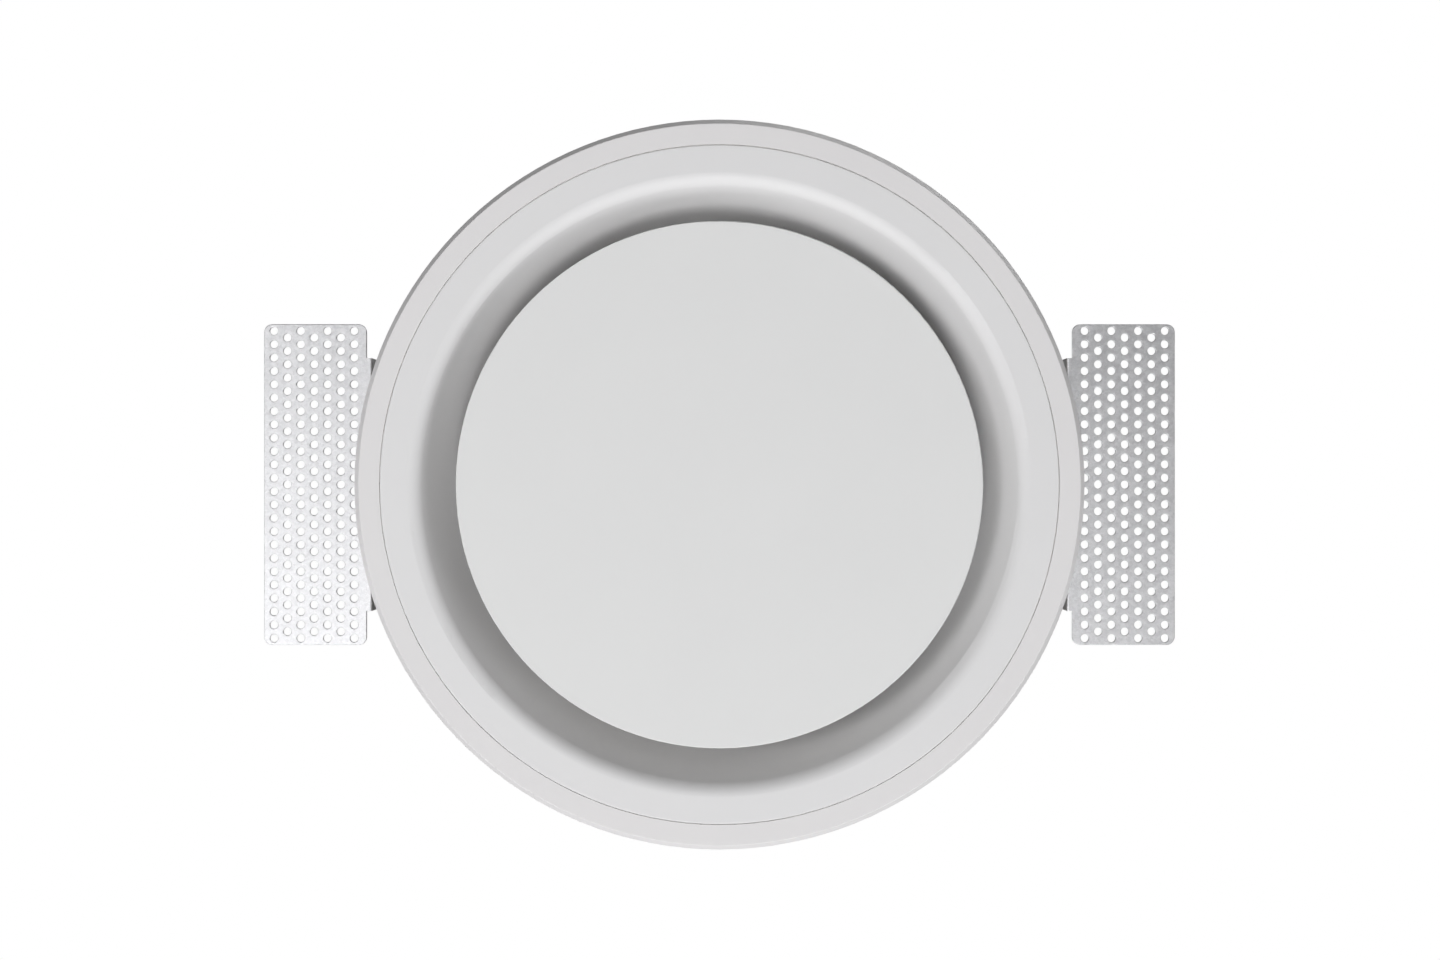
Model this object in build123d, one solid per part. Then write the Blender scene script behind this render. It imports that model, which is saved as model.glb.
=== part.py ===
from build123d import *
import math
import os

# Round plaster-in ceiling air diffuser. Units: millimetres.
# +Z points up into the ceiling void, z = 0 is the visible face, which looks down at the room.
# The origin is the centre of that face, on the axis of the duct. The fixing ears are at -X and +X.

# Frame: the cast ring that is plastered into the ceiling
FACE_R = 134.6  # outer edge of the visible face
FACE_EDGE = 0.4
FLANGE_R = 136.6  # foot of the drafted rim
FLANGE_T = 4.0
WALL_R = 128.0
LEDGE_R = 116.4
LEDGE_Z = 6.3
REBATE_R = 126.8
REBATE_EDGE = 0.05
FRAME_H = 30.0
BACK_EDGE = 0.8  # rounding of edges that face the ceiling void
PAD_X = 130.0  # flat seats for the legs of the ears
PAD_W = 70.0

# Insert: the removable throat with its disc
INSERT_R = 126.76  # at the face, where only a hairline joint shows
INSERT_EDGE = 0.6
LIP_T = 6.0
LIP_DRAFT = 0.25
THROAT_R = 113.1  # where the cone would meet the face, before the edge is rounded
THROAT_FILLET = 5.7
CONE_DEG = 60.0  # from the face plane
CONE_WALL = 4.5
FLOOR_Z = 43.0
FLOOR_T = 6.0
FLOOR_BORE = 61.5

# Disc: the adjustable plate in the throat
DISC_R = 98.3
DISC_T = 8.0
DISC_EDGE = 0.4
DISC_BACK_EDGE = 2.0

# Back pan and duct spigot
PAN_T = 1.0
GASKET_T = 1.0
PAN_TOP_Z = 55.0
PAN_TOP_R = 96.5
PAN_BEND = 1.5
SEAL_IN = 78.0  # foam between the insert's floor and the pan
SEAL_OUT = 88.0
SEAL_GAP = 0.3
SPIGOT_R = 62.0
SPIGOT_T = 0.8
SPIGOT_TOP_Z = 107.0
SPIGOT_FLANGE = 10.0
BEAD_Z = 66.0
BEAD_H = 1.8

# Perforated fixing ears
SHEET_T = 1.0
EAR_X0 = 132.0
EAR_X1 = 170.4
EAR_W = 120.0
EAR_CORNER = 3.0
TAB_W = 94.6
TAB_LAP = 1.0  # how far the tab runs into the plate
FOLD_IN = 0.2
FOLD_OUT = 0.7
ROLLOVER = 0.25  # punched and sheared edges are drawn down on the visible side
LEG_TOP_Z = 28.0
HOLE_R = 1.5
PITCH = 5.0
HOLE_X0 = 136.7
COLUMNS = 7
ROWS = 24
BRACKET_SCREW_Y = 20.0
BRACKET_SCREW_Z = 17.0

# Bridge, spindle and spring
BRIDGE_W = 22.0
BRIDGE_T = 1.5
BRIDGE_Z = 56.0  # underside of the raised middle
BRIDGE_FOOT = 77.0
BRIDGE_RISE_R = 63.5  # where each foot turns up
BRIDGE_TOP_R = 54.0
BRIDGE_NUT_FLATS = 19.0
SPINDLE_R = 4.0
SPINDLE_TOP_Z = 73.0
BUSH_FLANGE_R = 11.0
BUSH_FLANGE_T = 1.5
BUSH_R = 6.5
BUSH_TOP_Z = 66.0
HUB_R = 22.0
HUB_T = 3.0
BOSS_R = 8.0
BOSS_TOP_Z = 17.0
NUT_FLATS = 13.0
LOCKNUT_T = 4.0
WASHER_T = 1.5
WIRE_R = 0.7
SPRING_R = 8.6
SPRING_TURNS = 7

# Magnets, inserts and their circles
MAGNET_R = 4.0
MAGNET_CIRCLE = 121.4
MAGNETS = 6
STRIKE_R = 4.2
STRIKE_T = 1.0
INSERT_LEN = 10.0
SHORT_INSERT_LEN = 5.0
BRASS_R = 3.0
SCREW_R = 2.0
SCREW_HOLE_R = 2.25
PAN_SCREW_CIRCLE = 122.4
PAN_SCREWS = 6
PAN_SCREWS_FIRST = 30  # degrees, between two magnets
RIVET_CIRCLE = 67.5
RIVETS = 6
RIVET_R = 1.6
HUB_SCREW_CIRCLE = 16.0
HUB_SCREWS = 4

# Levels that follow from the sizes above
PAN_FLANGE_Z = FRAME_H + GASKET_T
FLOOR_BACK_Z = FLOOR_Z + FLOOR_T
COLLAR_Z = PAN_TOP_Z + PAN_T + GASKET_T
LOCKNUT_TOP_Z = BOSS_TOP_Z + LOCKNUT_T
SPRING_Z0 = LOCKNUT_TOP_Z + WASHER_T
SPRING_Z1 = BRIDGE_Z - BUSH_FLANGE_T

os.makedirs("parts", exist_ok=True)


def save(name, shape):
    export_step(shape, f"parts/{name}.step")


def outline(corners):
    """A face in the r-z plane from (r, z, rounding radius) corners."""
    face = make_face(Polyline(*[(r, z) for r, z, _ in corners], close=True))
    for r, z, radius in corners:
        if radius > 0:
            corner = face.vertices().sort_by_distance((r, z, 0))[0]
            face = fillet(corner, radius)
    return face


def turned(face):
    return revolve(Plane.XZ * face, Axis.Z)


def sheet_face(points, thickness, bend):
    """The section of bent sheet metal, from the points of its middle line."""
    middle = [Vector(x, z) for x, z in points]
    runs = [(end - start).normalized() for start, end in zip(middle, middle[1:])]
    left, right = [], []
    for i, place in enumerate(middle):
        before = runs[max(i - 1, 0)]
        after = runs[min(i, len(runs) - 1)]
        side = Vector(-before.Y - after.Y, before.X + after.X).normalized()
        reach = side * (thickness / 2 / side.dot(Vector(-after.Y, after.X)))
        turn = before.cross(after).Z
        inner, outer = (bend, bend + thickness) if abs(turn) > 0.01 else (0, 0)
        left_radius, right_radius = (inner, outer) if turn > 0 else (outer, inner)
        left.append((place.X + reach.X, place.Y + reach.Y, left_radius))
        right.append((place.X - reach.X, place.Y - reach.Y, right_radius))
    return outline(left + right[::-1])


def ring(r_in, r_out, z0, z1):
    return Pos(0, 0, z0) * extrude(Circle(r_out) - Circle(r_in), z1 - z0)


def around(count, radius, first_deg=0.0):
    """Places on a circle about Z, each turned to face outwards."""
    return [Rot(0, 0, first_deg + 360 * i / count) * Pos(radius, 0, 0) for i in range(count)]


def group(shape, places):
    return Compound(children=[place * shape for place in places])


def rod(radius, z0, z1, edge=0.0):
    body = Pos(0, 0, z0) * extrude(Circle(radius), z1 - z0)
    return chamfer(body.edges(), edge) if edge else body


def brass_insert(length):
    """A threaded insert, open at z = 0 and reaching down."""
    groove_depth = 0.4
    body = rod(BRASS_R, -length, 0) - rod(SCREW_R, -length, 0)
    groove = ring(BRASS_R - groove_depth, BRASS_R + 1, -length * 0.6, -length * 0.4)
    return body - groove


def pan_screw(length):
    """A pan-head screw with a cross recess. Its head sits on z = 0."""
    head_r, head_h, slot_w, slot_d = 3.9, 2.2, 1.0, 1.3
    crown = 1.2
    head = fillet(rod(head_r, 0, head_h).edges().sort_by(Axis.Z)[-1], crown)
    slot = Pos(0, 0, head_h) * Box(head_r * 1.1, slot_w, 2 * slot_d)
    cross = slot + Rot(0, 0, 90) * slot
    return head - cross + rod(SCREW_R, -length, 0)


def hex_nut(flats, height, bore):
    """A hexagon nut on z = 0 with its corners turned back at both faces."""
    body = extrude(RegularPolygon(flats / 2, 6, major_radius=False), height)
    lead = 0.9
    corner = flats / math.sqrt(3)
    blank = outline([(0, 0, 0), (corner - lead, 0, 0), (corner, lead / 2, 0),
                     (corner, height - lead / 2, 0), (corner - lead, height, 0), (0, height, 0)])
    return (body & turned(blank)) - rod(bore, 0, height)


# Frame

def frame_ring():
    section = outline([(LEDGE_R, LEDGE_Z, FACE_EDGE), (REBATE_R, LEDGE_Z, 0),
                       (REBATE_R, 0, REBATE_EDGE), (FACE_R, 0, FACE_EDGE),
                       (FLANGE_R, FLANGE_T, 0), (WALL_R, FLANGE_T, 0),
                       (WALL_R, FRAME_H, BACK_EDGE), (LEDGE_R, FRAME_H, BACK_EDGE)])
    body = turned(section)
    pad_h = FRAME_H - FLANGE_T - BACK_EDGE
    pad = Box(2 * PAD_X, PAD_W, pad_h, align=(Align.CENTER, Align.CENTER, Align.MIN))
    pad = fillet(pad.edges().filter_by(Axis.Z), 2 * BACK_EDGE)
    pads = Pos(0, 0, FLANGE_T) * pad - rod(REBATE_R, 0, FRAME_H)
    body += pads
    for place in around(MAGNETS, MAGNET_CIRCLE):
        body -= place * rod(MAGNET_R, LEDGE_Z - 1, LEDGE_Z + LIP_T)
    for place in pan_screw_places():
        body -= place * rod(BRASS_R, FRAME_H - INSERT_LEN, FRAME_H)
    for place in bracket_screw_places():
        body -= place * rod(BRASS_R, -SHEET_T - INSERT_LEN, 0)
    return body


def bracket_screw_places():
    """Places whose +Z points outwards from the outer faces of the ears' legs."""
    places = []
    for side in (-1, 1):
        for y in (-BRACKET_SCREW_Y, BRACKET_SCREW_Y):
            outside = Pos(side * (PAD_X + SHEET_T), y, BRACKET_SCREW_Z)
            places.append(outside * Rot(0, 90 * side, 0))
    return places


def ear_bracket():
    """The ear at +X: a perforated plate under the board, with a leg up beside the frame."""
    length = EAR_X1 - EAR_X0
    plate = Rectangle(length, EAR_W)
    plate = fillet(plate.vertices(), EAR_CORNER)
    plate = Pos((EAR_X0 + EAR_X1) / 2, 0) * plate
    for column in range(COLUMNS):
        rows = ROWS - column % 2
        for row in range(rows):
            y = (row - (rows - 1) / 2) * PITCH
            plate -= Pos(HOLE_X0 + column * PITCH, y) * Circle(HOLE_R)
    plate = Pos(0, 0, FLANGE_T) * extrude(plate, SHEET_T)
    plate = fillet(plate.faces().sort_by(Axis.Z)[0].edges(), ROLLOVER)
    lap_x = EAR_X0 + TAB_LAP
    fold = outline([(PAD_X, FLANGE_T, FOLD_OUT), (lap_x, FLANGE_T, 0),
                    (lap_x, FLANGE_T + SHEET_T, 0), (PAD_X + SHEET_T, FLANGE_T + SHEET_T, FOLD_IN),
                    (PAD_X + SHEET_T, LEG_TOP_Z, 0), (PAD_X, LEG_TOP_Z, 0)])
    leg = extrude(Plane.XZ * fold, TAB_W / 2, both=True)
    top_corners = leg.edges().filter_by(Axis.X).group_by(Axis.Z)[-1]
    leg = fillet(top_corners, EAR_CORNER)
    body = plate + leg
    for place in bracket_screw_places()[2:]:
        body -= place * rod(SCREW_HOLE_R, -2 * SHEET_T, SHEET_T)
    return body


def pan_screw_places():
    return around(PAN_SCREWS, PAN_SCREW_CIRCLE, PAN_SCREWS_FIRST)


def holding_magnets():
    air = 0.05
    magnet = rod(MAGNET_R, LIP_T + air, LEDGE_Z + LIP_T, 0.3)
    return group(magnet, around(MAGNETS, MAGNET_CIRCLE))


# Back pan and spigot

def rivet_places():
    return around(RIVETS, RIVET_CIRCLE)


def back_pan():
    mid = PAN_T / 2
    inset = 0.5
    points = [(WALL_R - inset, PAN_FLANGE_Z + mid), (LEDGE_R + 2 * inset, PAN_FLANGE_Z + mid),
              (PAN_TOP_R, PAN_TOP_Z + mid), (SPIGOT_R, PAN_TOP_Z + mid)]
    body = turned(sheet_face(points, PAN_T, PAN_BEND))
    for place in pan_screw_places():
        body -= place * rod(SCREW_HOLE_R, PAN_FLANGE_Z - 1, PAN_FLANGE_Z + 2 * PAN_T)
    for place in rivet_places():
        body -= place * rod(RIVET_R, PAN_TOP_Z - 1, PAN_TOP_Z + 2 * PAN_T)
    return body


def pan_gasket():
    body = ring(LEDGE_R + 2, WALL_R - 0.6, FRAME_H, PAN_FLANGE_Z)
    for place in pan_screw_places():
        body -= place * rod(SCREW_HOLE_R, FRAME_H - 1, PAN_FLANGE_Z + 1)
    return body


def pan_screws():
    screw = Pos(0, 0, PAN_FLANGE_Z + PAN_T) * pan_screw(INSERT_LEN)
    return group(screw, pan_screw_places())


def collar_gasket():
    inset = 0.5
    body = ring(SPIGOT_R + inset, SPIGOT_R + SPIGOT_FLANGE - inset, PAN_TOP_Z + PAN_T, COLLAR_Z)
    for place in rivet_places():
        body -= place * rod(RIVET_R, PAN_TOP_Z, COLLAR_Z + 1)
    return body


def duct_collar():
    mid = SPIGOT_T / 2
    r = SPIGOT_R - mid
    bend = 0.5
    points = [(SPIGOT_R + SPIGOT_FLANGE, COLLAR_Z + mid), (r, COLLAR_Z + mid),
              (r, BEAD_Z - BEAD_H), (r + BEAD_H, BEAD_Z), (r, BEAD_Z + BEAD_H),
              (r, SPIGOT_TOP_Z)]
    body = turned(sheet_face(points, SPIGOT_T, bend))
    for place in rivet_places():
        body -= place * rod(RIVET_R, COLLAR_Z - 1, COLLAR_Z + 2 * SPIGOT_T)
    return body


def collar_rivets():
    """Blind rivets: a domed head with the hole of its pin, a shank, and the bulb behind."""
    top = COLLAR_Z + SPIGOT_T
    head_r, head_h, bulb_r, bulb_h = 3.2, 1.2, 2.3, 1.6
    back_z = PAN_TOP_Z - top
    head = turned(outline([(0, 0, 0), (head_r, 0, 0), (head_r * 0.75, head_h - 0.2, 0.6),
                           (0, head_h, 0)]))
    shank = rod(RIVET_R, back_z - bulb_h, 0)
    bulb = turned(outline([(0, back_z - bulb_h, 0), (bulb_r, back_z - bulb_h, 0.6),
                           (bulb_r, back_z, 0), (0, back_z, 0)]))
    rivet = head + shank + bulb - rod(RIVET_R / 2, 0.4, 2 * head_h)
    return group(Pos(0, 0, top) * rivet, rivet_places())


def throat_seal():
    return ring(SEAL_IN, SEAL_OUT, FLOOR_BACK_Z + SEAL_GAP, PAN_TOP_Z)


# Insert

def insert_ring():
    run = 1 / math.tan(math.radians(CONE_DEG))
    wall = CONE_WALL / math.sin(math.radians(CONE_DEG))
    foot = THROAT_R - FLOOR_Z * run
    section = outline([(INSERT_R, 0, INSERT_EDGE), (THROAT_R, 0, THROAT_FILLET),
                       (foot, FLOOR_Z, 6.0), (FLOOR_BORE, FLOOR_Z, 2.5),
                       (FLOOR_BORE, FLOOR_BACK_Z, BACK_EDGE),
                       (THROAT_R + wall - FLOOR_BACK_Z * run, FLOOR_BACK_Z, 3.0),
                       (THROAT_R + wall - LIP_T * run, LIP_T, 0),
                       (INSERT_R - LIP_DRAFT, LIP_T, 0.3)])
    body = turned(section)
    for place in around(MAGNETS, MAGNET_CIRCLE):
        body -= place * rod(STRIKE_R, LIP_T - STRIKE_T, LIP_T + 1)
    for place in bridge_screw_places():
        body -= place * rod(BRASS_R, FLOOR_BACK_Z - SHORT_INSERT_LEN, FLOOR_BACK_Z)
    return body


def strike_plates():
    plate = rod(STRIKE_R, LIP_T - STRIKE_T, LIP_T, 0.15)
    return group(plate, around(MAGNETS, MAGNET_CIRCLE))


def bridge_screw_places():
    to_end = 6.5
    r = BRIDGE_FOOT - to_end
    return [Pos(x, y, 0) for x in (-r, r) for y in (-BRIDGE_W / 4, BRIDGE_W / 4)]


def bridge():
    mid = BRIDGE_T / 2
    foot_z = FLOOR_BACK_Z + mid
    top_z = BRIDGE_Z + mid
    half = [(BRIDGE_FOOT, foot_z), (BRIDGE_RISE_R, foot_z), (BRIDGE_TOP_R, top_z)]
    points = half + [(-x, z) for x, z in reversed(half)]
    side = sheet_face(points, BRIDGE_T, 2.0)
    body = extrude(Plane.XZ * side, BRIDGE_W / 2, both=True)
    body = fillet(body.edges().filter_by(Axis.Z), 5.0)
    body -= rod(BUSH_R, BRIDGE_Z - 1, BRIDGE_Z + 2 * BRIDGE_T)
    for place in bridge_screw_places():
        body -= place * rod(SCREW_HOLE_R, FLOOR_BACK_Z - 1, FLOOR_BACK_Z + 2 * BRIDGE_T)
    return body


def bridge_bush():
    bore = SPINDLE_R + 0.05
    section = outline([(bore, SPRING_Z1, 0), (BUSH_FLANGE_R, SPRING_Z1, 0.3),
                       (BUSH_FLANGE_R, BRIDGE_Z, 0), (BUSH_R, BRIDGE_Z, 0),
                       (BUSH_R, BUSH_TOP_Z, 0.6), (bore, BUSH_TOP_Z, 0.4)])
    return turned(section)


def bush_nut():
    return Pos(0, 0, BRIDGE_Z + BRIDGE_T) * hex_nut(BRIDGE_NUT_FLATS, LOCKNUT_T, BUSH_R)


def bridge_screws():
    screw = Pos(0, 0, FLOOR_BACK_Z + BRIDGE_T) * pan_screw(SHORT_INSERT_LEN)
    return group(screw, bridge_screw_places())


def bridge_inserts():
    return group(Pos(0, 0, FLOOR_BACK_Z) * brass_insert(SHORT_INSERT_LEN), bridge_screw_places())


def spring():
    gap = 0.05
    rise = SPRING_Z1 - SPRING_Z0 - 2 * (WIRE_R + gap)
    path = Helix(rise / SPRING_TURNS, rise, SPRING_R)
    wire = sweep(Plane(path @ 0, z_dir=path % 0) * Circle(WIRE_R), path=path, is_frenet=True)
    return Pos(0, 0, SPRING_Z0 + WIRE_R + gap) * wire


# Disc

def hub_screw_places():
    return around(HUB_SCREWS, HUB_SCREW_CIRCLE, 45)


def face_disc():
    section = outline([(0, 0, 0), (DISC_R, 0, DISC_EDGE), (DISC_R, DISC_T, DISC_BACK_EDGE),
                       (0, DISC_T, 0)])
    body = turned(section)
    for place in hub_screw_places():
        body -= place * rod(BRASS_R, DISC_T - SHORT_INSERT_LEN, DISC_T)
    return body


def hub_flange():
    section = outline([(SPINDLE_R, DISC_T, 0), (HUB_R, DISC_T, 0), (HUB_R, DISC_T + HUB_T, 0.6),
                       (BOSS_R, DISC_T + HUB_T, 1.0), (BOSS_R, BOSS_TOP_Z, 0.5),
                       (SPINDLE_R, BOSS_TOP_Z, 0)])
    body = turned(section)
    for place in hub_screw_places():
        body -= place * rod(SCREW_HOLE_R, DISC_T, DISC_T + HUB_T)
    return body


def hub_screws():
    screw = Pos(0, 0, DISC_T + HUB_T) * pan_screw(HUB_T + SHORT_INSERT_LEN - 0.5)
    return group(screw, hub_screw_places())


def hub_inserts():
    return group(Pos(0, 0, DISC_T) * brass_insert(SHORT_INSERT_LEN), hub_screw_places())


def spindle():
    return rod(SPINDLE_R, DISC_T + 0.5, SPINDLE_TOP_Z, 0.8)


def spindle_locknut():
    return Pos(0, 0, BOSS_TOP_Z) * hex_nut(NUT_FLATS, LOCKNUT_T, SPINDLE_R)


def stop_nut():
    return Pos(0, 0, BUSH_TOP_Z + 0.5) * hex_nut(NUT_FLATS, LOCKNUT_T + 0.5, SPINDLE_R)


def thrust_washer():
    return ring(SPINDLE_R + 0.3, BUSH_FLANGE_R, LOCKNUT_TOP_Z, SPRING_Z0)


ear = ear_bracket()
save("frame_ring", frame_ring())
save("ear_bracket_right", ear)
save("ear_bracket_left", mirror(ear, Plane.YZ))
save("bracket_screws", group(pan_screw(INSERT_LEN), bracket_screw_places()))
inset = Pos(0, 0, -SHEET_T) * brass_insert(INSERT_LEN)
save("bracket_inserts", group(inset, bracket_screw_places()))
save("holding_magnets", holding_magnets())
save("back_pan", back_pan())
save("pan_gasket", pan_gasket())
save("pan_screws", pan_screws())
pan_insert = Pos(0, 0, FRAME_H) * brass_insert(INSERT_LEN)
save("pan_inserts", group(pan_insert, pan_screw_places()))
save("collar_gasket", collar_gasket())
save("duct_collar", duct_collar())
save("collar_rivets", collar_rivets())
save("throat_seal", throat_seal())
save("insert_ring", insert_ring())
save("strike_plates", strike_plates())
save("bridge", bridge())
save("bridge_screws", bridge_screws())
save("bridge_inserts", bridge_inserts())
save("bridge_bush", bridge_bush())
save("bush_nut", bush_nut())
save("spring", spring())
save("thrust_washer", thrust_washer())
save("face_disc", face_disc())
save("hub_flange", hub_flange())
save("hub_screws", hub_screws())
save("hub_inserts", hub_inserts())
save("spindle", spindle())
save("spindle_locknut", spindle_locknut())
save("stop_nut", stop_nut())
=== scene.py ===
import bmesh
import bpy
import math
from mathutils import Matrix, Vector, noise


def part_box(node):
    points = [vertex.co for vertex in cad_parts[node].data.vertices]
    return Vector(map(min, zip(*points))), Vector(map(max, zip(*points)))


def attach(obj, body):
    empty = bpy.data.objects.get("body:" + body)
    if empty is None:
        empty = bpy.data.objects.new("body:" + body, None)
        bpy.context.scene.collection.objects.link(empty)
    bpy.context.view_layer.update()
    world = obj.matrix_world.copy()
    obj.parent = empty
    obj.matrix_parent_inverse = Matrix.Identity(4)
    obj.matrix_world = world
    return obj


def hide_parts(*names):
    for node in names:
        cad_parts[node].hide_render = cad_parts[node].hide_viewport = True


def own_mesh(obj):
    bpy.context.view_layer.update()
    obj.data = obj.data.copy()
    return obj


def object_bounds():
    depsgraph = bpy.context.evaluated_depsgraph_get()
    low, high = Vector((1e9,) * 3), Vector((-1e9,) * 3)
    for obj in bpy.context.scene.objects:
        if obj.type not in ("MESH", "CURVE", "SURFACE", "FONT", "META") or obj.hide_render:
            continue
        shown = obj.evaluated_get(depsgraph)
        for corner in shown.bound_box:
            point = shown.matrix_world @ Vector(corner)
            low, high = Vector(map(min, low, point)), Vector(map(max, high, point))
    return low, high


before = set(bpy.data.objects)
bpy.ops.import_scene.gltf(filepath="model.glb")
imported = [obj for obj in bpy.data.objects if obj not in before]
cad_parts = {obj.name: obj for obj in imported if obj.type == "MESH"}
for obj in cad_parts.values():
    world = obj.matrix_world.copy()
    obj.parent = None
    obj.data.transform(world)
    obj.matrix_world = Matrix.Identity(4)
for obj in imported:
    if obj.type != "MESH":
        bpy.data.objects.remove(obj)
cadLow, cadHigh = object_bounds()
mm = 0.001
scene = bpy.context.scene
print("frame loaded,", len(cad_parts), "nodes")


# camera and light come first, so that every later piece is seen in them
viewSetup = {
    "distance": 0.90,  # from the face, straight below it
    "shareOfWidth": 0.6324,  # how much of the picture the ears span
    "aside": (0.0002, -0.0017),  # the camera stands this far off the duct axis
    "sensor": 36.0,
}


def makeCamera(setup):
    camera = bpy.data.objects.new("camera", bpy.data.cameras.new("camera"))
    scene.collection.objects.link(camera)
    x, y = setup["aside"]
    camera.location = (x, y, cadLow.z - setup["distance"])
    camera.rotation_euler = (math.pi, 0, 0)  # looks straight up, with -Y at the top
    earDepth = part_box("ear_bracket_right")[0].z + setup["distance"]
    camera.data.sensor_width = setup["sensor"]
    camera.data.lens = setup["sensor"] * setup["shareOfWidth"] * earDepth / (cadHigh.x - cadLow.x)
    scene.camera = camera


lightSetup = {
    "room": 0.135,  # strength of the pale room all round
    # height of a direction, from -1 straight down to 1 straight up, and how bright the room is there
    "heights": ((-1.0, 0.85), (0.0, 1.0), (0.80, 1.0), (0.94, 0.06)),
    "boxes": {
        # turn about the duct axis and tilt away from straight below, in degrees,
        # then distance, side and power in watts
        "keyBox": (98, 24, 5.2, 1.8, 116),
        "sideBox": (177, 33, 5.2, 2.0, 71),
        "lowBox": (95, 50, 5.2, 2.8, 27),
        "skimRightBox": (35, 80, 3.5, 1.9, 46),
        "skimLeftBox": (125, 80, 3.5, 1.9, 31),
        "backBox": (-60, 140, 2.4, 1.6, 30),
    },
}


def makeLights(setup):
    for name, (turn, tilt, distance, side, power) in setup["boxes"].items():
        turn, tilt = math.radians(turn), math.radians(tilt)
        light = bpy.data.lights.new(name, "AREA")
        light.size = side
        light.energy = power
        box = bpy.data.objects.new(name, light)
        scene.collection.objects.link(box)
        away = Vector((math.cos(turn) * math.sin(tilt), math.sin(turn) * math.sin(tilt), -math.cos(tilt)))
        box.location = distance * away
        box.rotation_euler = (-away).to_track_quat("-Z", "Y").to_euler()
        box.visible_camera = False
    world = bpy.data.worlds.new("paleRoom")
    world.use_nodes = True
    scene.world = world
    nodes, links = world.node_tree.nodes, world.node_tree.links
    room = nodes["Background"]
    facing = nodes.new("ShaderNodeTexCoord")
    height = nodes.new("ShaderNodeSeparateXYZ")
    links.new(facing.outputs["Generated"], height.inputs[0])
    share = nodes.new("ShaderNodeMapRange")
    share.inputs["From Min"].default_value = -1
    links.new(height.outputs["Z"], share.inputs["Value"])
    glow = nodes.new("ShaderNodeValToRGB")
    stops = glow.color_ramp.elements
    while len(stops) < len(setup["heights"]):
        stops.new(0.5)
    for stop, (level, bright) in zip(stops, setup["heights"]):
        stop.position = (level + 1) / 2
        stop.color = (bright, bright, bright, 1)
    links.new(share.outputs["Result"], glow.inputs[0])
    links.new(glow.outputs[0], room.inputs["Color"])
    room.inputs["Strength"].default_value = setup["room"]
    backdrop = nodes.new("ShaderNodeBackground")  # what the camera sees behind the object
    backdrop.inputs["Color"].default_value = (1, 1, 1, 1)
    rays = nodes.new("ShaderNodeLightPath")
    choose = nodes.new("ShaderNodeMixShader")
    links.new(rays.outputs["Is Camera Ray"], choose.inputs[0])
    links.new(room.outputs[0], choose.inputs[1])
    links.new(backdrop.outputs[0], choose.inputs[2])
    links.new(choose.outputs[0], nodes["World Output"].inputs["Surface"])
    scene.view_settings.view_transform = "Standard"


makeCamera(viewSetup)
makeLights(lightSetup)
print("camera and lights ready")


def startFinish(name, **sockets):
    finish = bpy.data.materials.new(name)
    finish.use_nodes = True
    shader = finish.node_tree.nodes["Principled BSDF"]
    for socket, value in sockets.items():
        shader.inputs[socket.replace("_", " ")].default_value = value
    return finish, finish.node_tree, shader


def addNode(tree, kind, values=None, **settings):
    node = tree.nodes.new("ShaderNode" + kind)
    for key, value in settings.items():
        setattr(node, key, value)
    for key, value in (values or {}).items():
        node.inputs[key].default_value = value
    return node


def objectPlace(tree, stretch=(1, 1, 1)):
    place = addNode(tree, "TexCoord")
    scale = addNode(tree, "Mapping", {"Scale": stretch})
    tree.links.new(place.outputs["Object"], scale.inputs["Vector"])
    return scale.outputs["Vector"]


def noiseAt(tree, place, size, detail=3.0, roughness=0.55):
    grain = addNode(tree, "TexNoise", {"Scale": 1 / size, "Detail": detail, "Roughness": roughness})
    tree.links.new(place, grain.inputs["Vector"])
    return grain.outputs["Fac"]


def spread(tree, value, low, high, fromLow=0.3, fromHigh=0.7):
    fit = addNode(tree, "MapRange", {"From Min": fromLow, "From Max": fromHigh,
                                     "To Min": low, "To Max": high})
    tree.links.new(value, fit.inputs["Value"])
    return fit.outputs["Result"]


def blendColours(tree, share, first, second):
    mix = addNode(tree, "Mix", data_type="RGBA")
    for socket, colour in (("A", first), ("B", second)):
        place = [s for s in mix.inputs if s.name == socket and s.type == "RGBA"][0]
        if isinstance(colour, tuple):
            place.default_value = (*colour, 1)
        else:
            tree.links.new(colour, place)
    tree.links.new(share, mix.inputs["Factor"])
    return [s for s in mix.outputs if s.type == "RGBA"][0]


def raiseBump(tree, height, depth, strength=1.0, under=None):
    bump = addNode(tree, "Bump", {"Distance": depth, "Strength": strength})
    tree.links.new(height, bump.inputs["Height"])
    if under is not None:
        tree.links.new(under, bump.inputs["Normal"])
    return bump.outputs["Normal"]


def facingUp(tree):
    # 1 on surfaces that face the ceiling void or sideways, 0 on those that face the room
    normal = addNode(tree, "NewGeometry")
    parts = addNode(tree, "SeparateXYZ")
    tree.links.new(normal.outputs["Normal"], parts.inputs[0])
    return spread(tree, parts.outputs["Z"], 0, 1, -0.25, -0.10)


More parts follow.
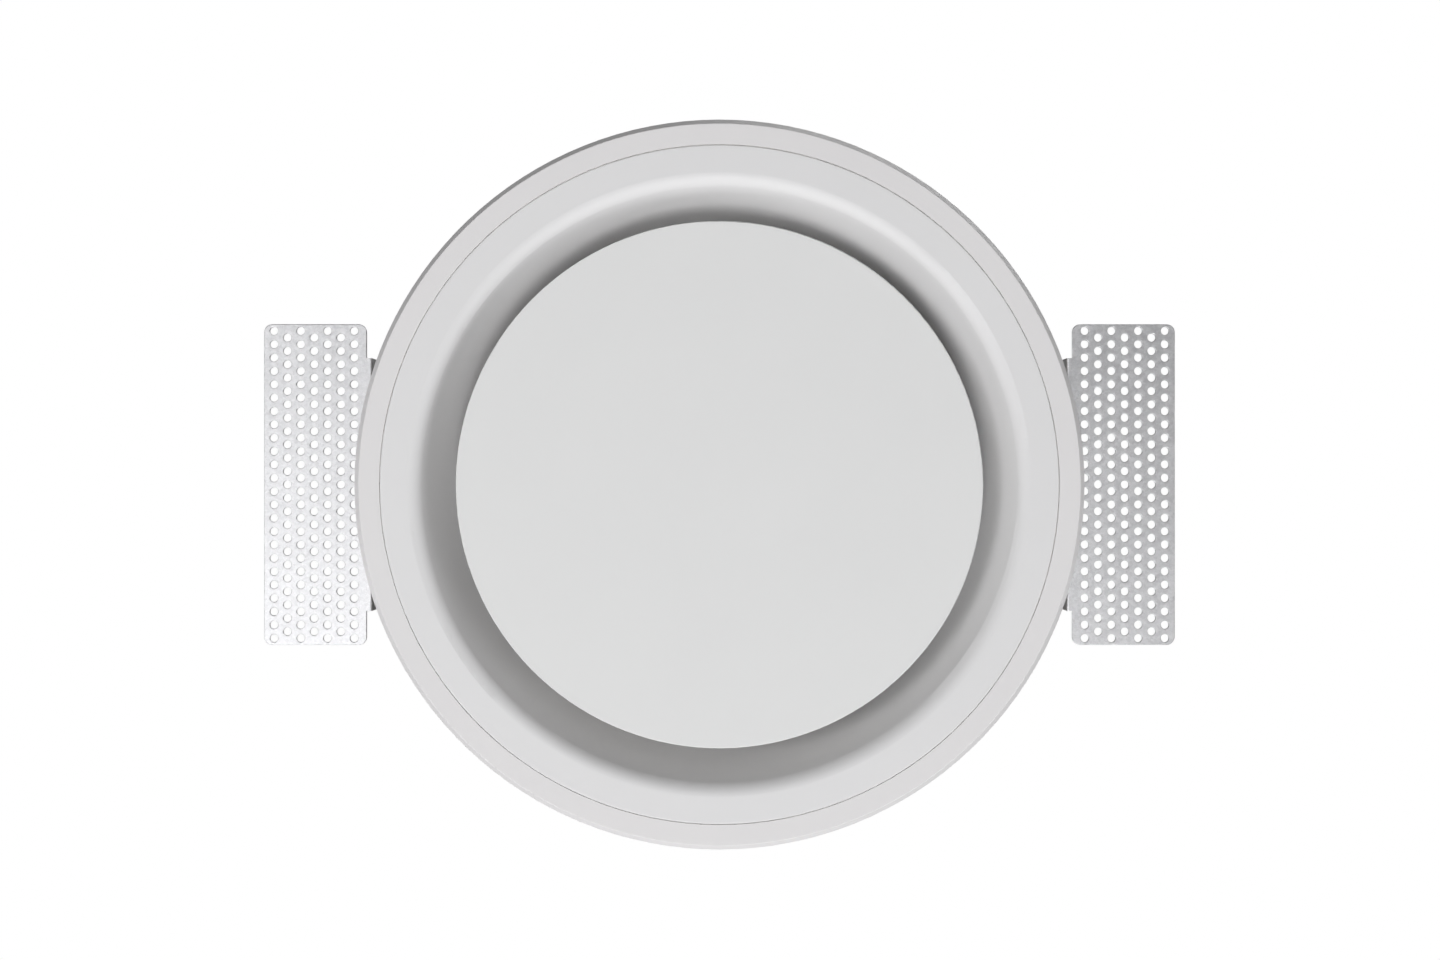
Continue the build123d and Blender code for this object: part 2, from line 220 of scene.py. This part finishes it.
gypsumLook = {
    "raw": (0.80, 0.783, 0.757),
    "rawShade": (0.71, 0.69, 0.65),
    # colour of the pinholes: painted shade in the hollows of the air bubbles
    "shadedBubble": (0.42, 0.40, 0.37),
    # sizes of the patterns, from the broad cloudiness down to the grain
    "cloud": 45 * mm,
    "blotch": 14 * mm,
    "pinhole": 4.0 * mm,
    "orangePeel": 3.5 * mm,
    "grain": 0.5 * mm,
    "paintRoughness": (0.50, 0.60),
    "rawRoughness": (0.80, 0.95),
    "grainDepth": 0.008 * mm,
    "peelDepth": 0.02 * mm,
    "pinholeDepth": 0.4 * mm,
}
paintLook = {
    # two close tones of the factory primer on each casting, and a shift that gives it its own grain
    "frame_gypsum": ((0.788, 0.776, 0.781), (0.775, 0.763, 0.770), 0.0),
    "insert_gypsum": ((0.786, 0.783, 0.790), (0.774, 0.771, 0.778), 3.1),
    "disc_gypsum": ((0.793, 0.796, 0.795), (0.781, 0.784, 0.784), 6.7),
}


def castGypsum(name, look, paintTone, paintShade, shiftBy):
    finish, tree, shader = startFinish(name, Specular_IOR_Level=0.35)
    place = objectPlace(tree)
    shift = addNode(tree, "VectorMath", operation="ADD")
    shift.inputs[1].default_value = (shiftBy, shiftBy * 0.7, shiftBy * 1.3)
    tree.links.new(place, shift.inputs[0])
    place = shift.outputs[0]
    cloud = noiseAt(tree, place, look["cloud"], 4)
    grain = noiseAt(tree, place, look["grain"], 2)
    peel = noiseAt(tree, place, look["orangePeel"], 2)
    paint = blendColours(tree, spread(tree, cloud, 0, 1), paintTone, paintShade)
    # cast back: warmer, blotchy, with small air bubbles whose hollows are darkened with painted shade
    blotch = noiseAt(tree, place, look["blotch"], 6, 0.65)
    raw = blendColours(tree, spread(tree, blotch, 0, 1), look["raw"], look["rawShade"])
    shadedBubble = addNode(tree, "TexVoronoi", {"Scale": 1 / look["pinhole"]})
    tree.links.new(place, shadedBubble.inputs["Vector"])
    hole = spread(tree, shadedBubble.outputs["Distance"], 1, 0, 0.10, 0.17)
    # painted shade: the pinholes on the cast back are darkened
    rawPitShaded = blendColours(tree, hole, raw, look["shadedBubble"])
    back = facingUp(tree)
    tree.links.new(blendColours(tree, back, paint, rawPitShaded), shader.inputs["Base Color"])
    smooth = spread(tree, peel, *look["paintRoughness"])
    rough = spread(tree, blotch, *look["rawRoughness"])
    gloss = addNode(tree, "Mix")
    tree.links.new(back, gloss.inputs["Factor"])
    tree.links.new(smooth, gloss.inputs[2])
    tree.links.new(rough, gloss.inputs[3])
    tree.links.new(gloss.outputs[0], shader.inputs["Roughness"])
    normal = raiseBump(tree, grain, look["grainDepth"], 0.6)
    normal = raiseBump(tree, peel, look["peelDepth"], 0.5, normal)
    pits = addNode(tree, "Math", operation="MULTIPLY")
    tree.links.new(hole, pits.inputs[0])
    tree.links.new(back, pits.inputs[1])
    sunk = addNode(tree, "Math", {0: 1.0}, operation="SUBTRACT")
    tree.links.new(pits.outputs[0], sunk.inputs[1])
    normal = raiseBump(tree, sunk.outputs[0], look["pinholeDepth"], 1.0, normal)
    tree.links.new(normal, shader.inputs["Normal"])
    return finish


sheetLook = {"cloud": 30 * mm, "cloudShare": 0.35, "line": 0.5 * mm, "lineDepth": 0.006 * mm}


def sheetSteel(name, look):
    # zinc-coated sheet: crystals of slightly different tone and gloss, and fine rolling lines
    finish, tree, shader = startFinish(name, Metallic=1.0)
    place = objectPlace(tree)
    crystal = addNode(tree, "TexVoronoi", {"Scale": 1 / look["crystal"], "Randomness": 1.0})
    tree.links.new(place, crystal.inputs["Vector"])
    tone = addNode(tree, "SeparateColor")
    tree.links.new(crystal.outputs["Color"], tone.inputs[0])
    speckle = noiseAt(tree, place, look["speckle"], 3, 0.7)
    cloud = noiseAt(tree, place, sheetLook["cloud"], 3)
    both = addNode(tree, "Mix", {"Factor": look["speckleShare"]})
    tree.links.new(tone.outputs[0], both.inputs[2])
    tree.links.new(spread(tree, speckle, 0, 1), both.inputs[3])
    colour = blendColours(tree, both.outputs[0], look["dark"], look["light"])
    dulled = spread(tree, cloud, 0, sheetLook["cloudShare"])
    colour = blendColours(tree, dulled, colour, look["dark"])
    tree.links.new(colour, shader.inputs["Base Color"])
    tree.links.new(spread(tree, both.outputs[0], *look["roughness"], 0, 1),
                   shader.inputs["Roughness"])
    lines = noiseAt(tree, objectPlace(tree, look["rolling"]), sheetLook["line"], 2)
    normal = raiseBump(tree, lines, sheetLook["lineDepth"], 0.5)
    normal = raiseBump(tree, both.outputs[0], sheetLook["lineDepth"], 0.5, normal)
    tree.links.new(normal, shader.inputs["Normal"])
    return finish


toolLine = 0.6 * mm  # from one tool line to the next


def turnedMetal(name, look):
    # machined or plated small parts: stained plating, and fine tool lines around or along the piece
    finish, tree, shader = startFinish(name, Metallic=1.0)
    stain = noiseAt(tree, objectPlace(tree), look["stain"], 4)
    lines = noiseAt(tree, objectPlace(tree, look["lines"]), toolLine, 3)
    colour = blendColours(tree, spread(tree, stain, 0, 1), look["light"], look["dark"])
    tree.links.new(colour, shader.inputs["Base Color"])
    tree.links.new(spread(tree, stain, *look["roughness"]), shader.inputs["Roughness"])
    tree.links.new(raiseBump(tree, lines, look["lineDepth"], 0.6), shader.inputs["Normal"])
    return finish


def cellFoam(name, look):
    finish, tree, shader = startFinish(name, Specular_IOR_Level=0.25)
    place = objectPlace(tree)
    cells = addNode(tree, "TexVoronoi", {"Scale": 1 / look["cell"]})
    tree.links.new(place, cells.inputs["Vector"])
    dust = noiseAt(tree, place, look["dust"], 5)
    colour = blendColours(tree, spread(tree, dust, 0, 1), look["dark"], look["dusty"])
    tree.links.new(colour, shader.inputs["Base Color"])
    tree.links.new(spread(tree, dust, *look["roughness"]), shader.inputs["Roughness"])
    normal = raiseBump(tree, cells.outputs["Distance"], look["cellDepth"], 0.8)
    tree.links.new(normal, shader.inputs["Normal"])
    return finish


earSteelLook = {
    "crystal": 0.9 * mm, "speckle": 0.45 * mm, "speckleShare": 0.55,
    "light": (0.75, 0.75, 0.765), "dark": (0.52, 0.52, 0.535),
    "roughness": (0.36, 0.53), "rolling": (1, 0.05, 1),
}
panSteelLook = {
    "crystal": 7.0 * mm, "speckle": 1.2 * mm, "speckleShare": 0.35,
    "light": (0.76, 0.77, 0.79), "dark": (0.60, 0.61, 0.63),
    "roughness": (0.26, 0.44), "rolling": (1, 1, 0.06),
}
platedLook = {
    "light": (0.76, 0.77, 0.79), "dark": (0.62, 0.62, 0.60), "stain": 5 * mm,
    "roughness": (0.22, 0.34), "lines": (1, 1, 0.08), "lineDepth": 0.006 * mm,
}
springLook = {
    "light": (0.42, 0.42, 0.43), "dark": (0.25, 0.24, 0.23), "stain": 4 * mm,
    "roughness": (0.28, 0.42), "lines": (0.1, 0.1, 1), "lineDepth": 0.008 * mm,
}
nickelLook = {
    "light": (0.80, 0.78, 0.73), "dark": (0.70, 0.68, 0.63), "stain": 3 * mm,
    "roughness": (0.12, 0.22), "lines": (1, 1, 1), "lineDepth": 0.003 * mm,
}
rivetLook = {
    "light": (0.86, 0.86, 0.87), "dark": (0.74, 0.74, 0.75), "stain": 2 * mm,
    "roughness": (0.30, 0.42), "lines": (1, 1, 0.2), "lineDepth": 0.008 * mm,
}
brassLook = {
    "light": (0.80, 0.60, 0.28), "dark": (0.62, 0.43, 0.18), "stain": 4 * mm,
    "roughness": (0.22, 0.36), "lines": (1, 1, 0.06), "lineDepth": 0.008 * mm,
}
foamLook = {
    "dark": (0.018, 0.018, 0.019), "dusty": (0.045, 0.043, 0.040), "dust": 12 * mm,
    "cell": 0.8 * mm, "cellDepth": 0.3 * mm, "roughness": (0.78, 0.95),
}

framePaint, insertPaint, discPaint = (castGypsum(name, gypsumLook, *tones)
                                      for name, tones in paintLook.items())
earSteel = sheetSteel("ear_steel", earSteelLook)
panSteel = sheetSteel("pan_steel", panSteelLook)
plated = turnedMetal("zinc_plate", platedLook)
springSteel = turnedMetal("spring_wire", springLook)
nickel = turnedMetal("magnet_nickel", nickelLook)
rivetMetal = turnedMetal("rivet_aluminium", rivetLook)
brass = turnedMetal("turned_brass", brassLook)
foam = cellFoam("seal_foam", foamLook)

nodeFinish = {
    "frame_ring": framePaint, "insert_ring": insertPaint, "face_disc": discPaint,
    "ear_bracket_left": earSteel, "ear_bracket_right": earSteel,
    "back_pan": panSteel, "duct_collar": panSteel,
    "bracket_screws": plated, "pan_screws": plated, "bridge_screws": plated, "hub_screws": plated,
    "bridge": plated, "hub_flange": plated, "spindle_locknut": plated, "stop_nut": plated,
    "bush_nut": plated, "thrust_washer": plated, "strike_plates": plated,
    "holding_magnets": nickel, "collar_rivets": rivetMetal,
    "bracket_inserts": brass, "pan_inserts": brass, "bridge_inserts": brass,
    "hub_inserts": brass, "bridge_bush": brass,
}


def dressNodes(table):
    for name, finish in table.items():
        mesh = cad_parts[name].data
        mesh.materials.clear()
        mesh.materials.append(finish)


dressNodes(nodeFinish)
print("finishes on", len(nodeFinish), "nodes")


meshCare = {"weld": 0.002 * mm, "sharp": 35}  # joins points closer than this, keeps steeper edges crisp


def polar(radius, angle, z):
    return radius * math.cos(angle), radius * math.sin(angle), z


def addPiece(name, verts, faces, finish, body, stands=()):
    mesh = bpy.data.meshes.new(name)
    mesh.from_pydata(verts, [], faces)
    cleaner = bmesh.new()
    cleaner.from_mesh(mesh)
    bmesh.ops.remove_doubles(cleaner, verts=cleaner.verts, dist=meshCare["weld"])
    bmesh.ops.dissolve_degenerate(cleaner, edges=cleaner.edges, dist=meshCare["weld"])
    bmesh.ops.recalc_face_normals(cleaner, faces=cleaner.faces)
    cleaner.to_mesh(mesh)
    cleaner.free()
    mesh.materials.append(finish)
    mesh.shade_smooth()
    mesh.set_sharp_from_angle(angle=math.radians(meshCare["sharp"]))
    piece = bpy.data.objects.new(name, mesh)
    scene.collection.objects.link(piece)
    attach(piece, body)
    if stands:
        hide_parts(*stands)
    return piece


threadLook = {
    "pitch": 2.0 * mm, "depth": 0.95 * mm, "chamfer": 0.8 * mm, "steps": 64,
    # share of one pitch, and how deep: crest, flank, root, flank
    "profile": ((0.0, 0.0), (0.30, 0.0), (0.48, 1.0), (0.80, 1.0), (0.98, 0.0)),
}


def makeSpindle(look):
    # rolled trapezoid thread: rows of points that climb one pitch a turn, held inside the rod's ends
    low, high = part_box("spindle")
    radius = (high.x - low.x) / 2
    pitch, depth, steps = look["pitch"], look["depth"], look["steps"]
    turns = math.ceil((high.z - low.z) / pitch) + 2
    rows = [(turn + share, deep) for turn in range(turns) for share, deep in look["profile"]]
    verts, faces = [], []
    for step in range(steps + 1):
        angle = 2 * math.pi * step / steps
        for along, deep in rows:
            z = low.z + (along - 1 + step / steps) * pitch
            inside = min(max(z, low.z), high.z)
            toEnd = min(inside - low.z, high.z - inside)
            r = radius - depth * deep
            r = min(r, radius - depth + depth * toEnd / look["chamfer"])
            verts.append(polar(r, angle, inside))
    count = len(rows)
    for step in range(steps):
        for row in range(count - 1):
            a = step * count + row
            b = a + count
            faces.append((a, b, b + 1, a + 1))
    first = [step * count for step in range(steps)]
    last = [step * count + count - 1 for step in range(steps)]
    faces.append(first)
    faces.append(last[::-1])
    return addPiece("spindle_thread", verts, faces, plated, "disc",
                    ["spindle"])


springShape = {
    "wire": 0.7 * mm,  # radius of the wire
    "closedTurns": 1.25, "openTurns": 5.0,
    "closedPitch": 1.02,  # of the wire's thickness
    "ground": 0.55,  # how much of the wire's radius the ground ends leave below its middle
    "trim": 0.02 * mm,
    "ease": 0.01,  # how softly the pitch opens
    "around": 48, "section": 12,
}


def makeSpring(shape):
    # closed, ground ends and an even pitch between them
    low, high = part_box("spring")
    coilR = (high.x - low.x) / 2 - shape["wire"]
    base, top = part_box("thrust_washer")[1].z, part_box("bridge_bush")[0].z
    wire = shape["wire"]
    closed, opened = shape["closedTurns"], shape["openTurns"]
    total = 2 * closed + opened
    closedRise = 2 * wire * shape["closedPitch"] * closed
    flat = shape["ground"] * wire
    openRise = top - base - 2 * flat - 2 * closedRise
    steps = int(total * shape["around"])
    verts, faces = [], []
    section = shape["section"]
    for step in range(steps + 1):
        turn = total * step / steps
        if turn < closed:
            z = closedRise * turn / closed
        elif turn < closed + opened:
            share = (turn - closed) / opened
            eased = share - shape["ease"] * math.sin(2 * math.pi * share)
            z = closedRise + openRise * eased
        else:
            z = closedRise + openRise + closedRise * (turn - closed - opened) / closed
        z += base + flat
        angle = 2 * math.pi * turn
        for k in range(section):
            around = 2 * math.pi * k / section
            r = coilR + wire * math.cos(around)
            height = max(z + wire * math.sin(around), base + shape["trim"])
            verts.append(polar(r, angle, min(height, top - shape["trim"])))
    for step in range(steps):
        for k in range(section):
            a = step * section + k
            b = step * section + (k + 1) % section
            faces.append((a, b, b + section, a + section))
    faces.append(list(range(section))[::-1])
    faces.append([steps * section + k for k in range(section)])
    piece = addPiece("spring_coil", verts, faces, springSteel, "insert",
                     ["spring"])
    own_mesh(piece)
    return piece


foamRings = {
    # node: how far its sides bulge where it is pressed, and how lumpy they are
    "throat_seal": {"bulge": 1.1 * mm, "lump": 0.25 * mm},
    "pan_gasket": {"bulge": 0.25 * mm, "lump": 0.08 * mm},
    "collar_gasket": {"bulge": 0.20 * mm, "lump": 0.08 * mm},
}
foamMesh = {"around": 240, "across": 4, "up": 6}
# how fast the lumps change around, up and across a ring
foamLumps = {"around": 9, "up": 400, "across": 50}


def makeFoamRing(node, shape):
    low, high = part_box(node)
    outer = (high.x - low.x) / 2
    inner = min(math.hypot(v.co.x, v.co.y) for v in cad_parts[node].data.vertices)
    outer -= shape["bulge"] + shape["lump"]
    inner += shape["bulge"] + shape["lump"]
    steps, across, up = foamMesh["around"], foamMesh["across"], foamMesh["up"]
    section = [(inner + (outer - inner) * i / across, low.z) for i in range(across + 1)]
    for i in range(1, up):
        share = i / up
        section.append((outer + shape["bulge"] * math.sin(math.pi * share),
                        low.z + (high.z - low.z) * share))
    section += [(outer - (outer - inner) * i / across, high.z) for i in range(across + 1)]
    for i in range(1, up):
        share = 1 - i / up
        section.append((inner - shape["bulge"] * math.sin(math.pi * share),
                        low.z + (high.z - low.z) * share))
    verts, faces = [], []
    count = len(section)
    for step in range(steps):
        angle = 2 * math.pi * step / steps
        for r, z in section:
            side = 1 if r >= outer else -1 if r <= inner else 0
            height = z * foamLumps["up"] + r * foamLumps["across"]
            lump = noise.noise(Vector(polar(foamLumps["around"], angle, height)))
            verts.append(polar(r + side * shape["lump"] * lump, angle, z))
    for step in range(steps):
        following = (step + 1) % steps
        for k in range(count):
            nextK = (k + 1) % count
            faces.append((step * count + k, following * count + k,
                          following * count + nextK, step * count + nextK))
    return addPiece(node + "_foam", verts, faces, foam, "housing", [node])


seamShape = {
    "angle": 128, "width": 9 * mm,
    "proud": 0.35 * mm, "edge": 0.4 * mm,  # height of the step, and how wide its edge is
    "aboveFlange": 11.6 * mm, "belowTop": 0.3 * mm,
    "welds": 5, "weldR": 1.7 * mm, "weldDepth": 0.22 * mm,
    "lift": 0.01 * mm, "buried": 0.2 * mm,  # its skin clears the spigot, its back is inside the wall
    "columns": 24, "rows": 60,
}


def makeSpigotSeam(shape):
    # the spigot is rolled from strip: its lap shows as a low step with a row of spot welds
    low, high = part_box("duct_collar")
    radius = max(math.hypot(v.co.x, v.co.y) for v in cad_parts["duct_collar"].data.vertices
                 if v.co.z > high.z - mm)
    z0, z1 = low.z + shape["aboveFlange"], high.z - shape["belowTop"]
    half = shape["width"] / 2
    columns, rows = shape["columns"], shape["rows"]
    welds = [z0 + (z1 - z0) * (i + 0.5) / shape["welds"] for i in range(shape["welds"])]
    verts, faces = [], []
    for j in range(rows + 1):
        z = z0 + (z1 - z0) * j / rows
        for i in range(columns + 1):
            along = -half + shape["width"] * i / columns
            edge = min(half - abs(along), z - z0, z1 - z) / shape["edge"]
            rise = shape["proud"] * min(1, max(0, edge))
            near = min(math.hypot(along, z - w) for w in welds)
            if near < shape["weldR"]:
                rise -= shape["weldDepth"] * (0.5 + 0.5 * math.cos(math.pi * near / shape["weldR"]))
            angle = math.radians(shape["angle"]) + along / radius
            verts.append(polar(radius + rise + shape["lift"], angle, z))
    skin = len(verts)
    for j in range(rows + 1):
        z = z0 + (z1 - z0) * j / rows
        for i in range(columns + 1):
            angle = math.radians(shape["angle"]) + (-half + shape["width"] * i / columns) / radius
            verts.append(polar(radius - shape["buried"], angle, z))
    wide = columns + 1
    for j in range(rows):
        for i in range(columns):
            a = j * wide + i
            faces.append((a, a + 1, a + 1 + wide, a + wide))
            faces.append((skin + a, skin + a + wide, skin + a + 1 + wide, skin + a + 1))
    rim = list(range(wide)) + [j * wide + columns for j in range(1, rows + 1)]
    rim += [rows * wide + i for i in range(columns - 1, -1, -1)]
    rim += [j * wide for j in range(rows - 1, 0, -1)]
    for here, there in zip(rim, rim[1:] + rim[:1]):
        faces.append((here, here + skin, there + skin, there))
    return addPiece("spigot_seam", verts, faces, panSteel, "housing")


makeSpindle(threadLook)
makeSpring(springShape)
for node, shape in foamRings.items():
    makeFoamRing(node, shape)
makeSpigotSeam(seamShape)
print("spindle, spring, seals and spigot seam made")


floorSetup = {"below": 6.0, "size": 60.0, "glow": 0.78, "cloud": 0.9,
              "colour": (0.80, 0.80, 0.79), "shade": (0.78, 0.78, 0.775)}


def makeFloor(setup):
    size = setup["size"] / 2
    mesh = bpy.data.meshes.new("floor")
    z = cadLow.z - setup["below"]
    mesh.from_pydata([(-size, -size, z), (size, -size, z), (size, size, z), (-size, size, z)],
                     [], [(0, 1, 2, 3)])
    finish, tree, shader = startFinish("pale_floor", Roughness=0.8, Emission_Strength=setup["glow"])
    cloud = noiseAt(tree, objectPlace(tree), setup["cloud"], 3)
    colour = blendColours(tree, spread(tree, cloud, 0, 1), setup["colour"], setup["shade"])
    tree.links.new(colour, shader.inputs["Base Color"])
    tree.links.new(colour, shader.inputs["Emission Color"])
    mesh.materials.append(finish)
    floor = bpy.data.objects.new("floor", mesh)
    scene.collection.objects.link(floor)
    floor.visible_diffuse = False  # a backdrop only: it adds no light to the object
    floor.visible_glossy = False


makeFloor(floorSetup)
print("floor laid")
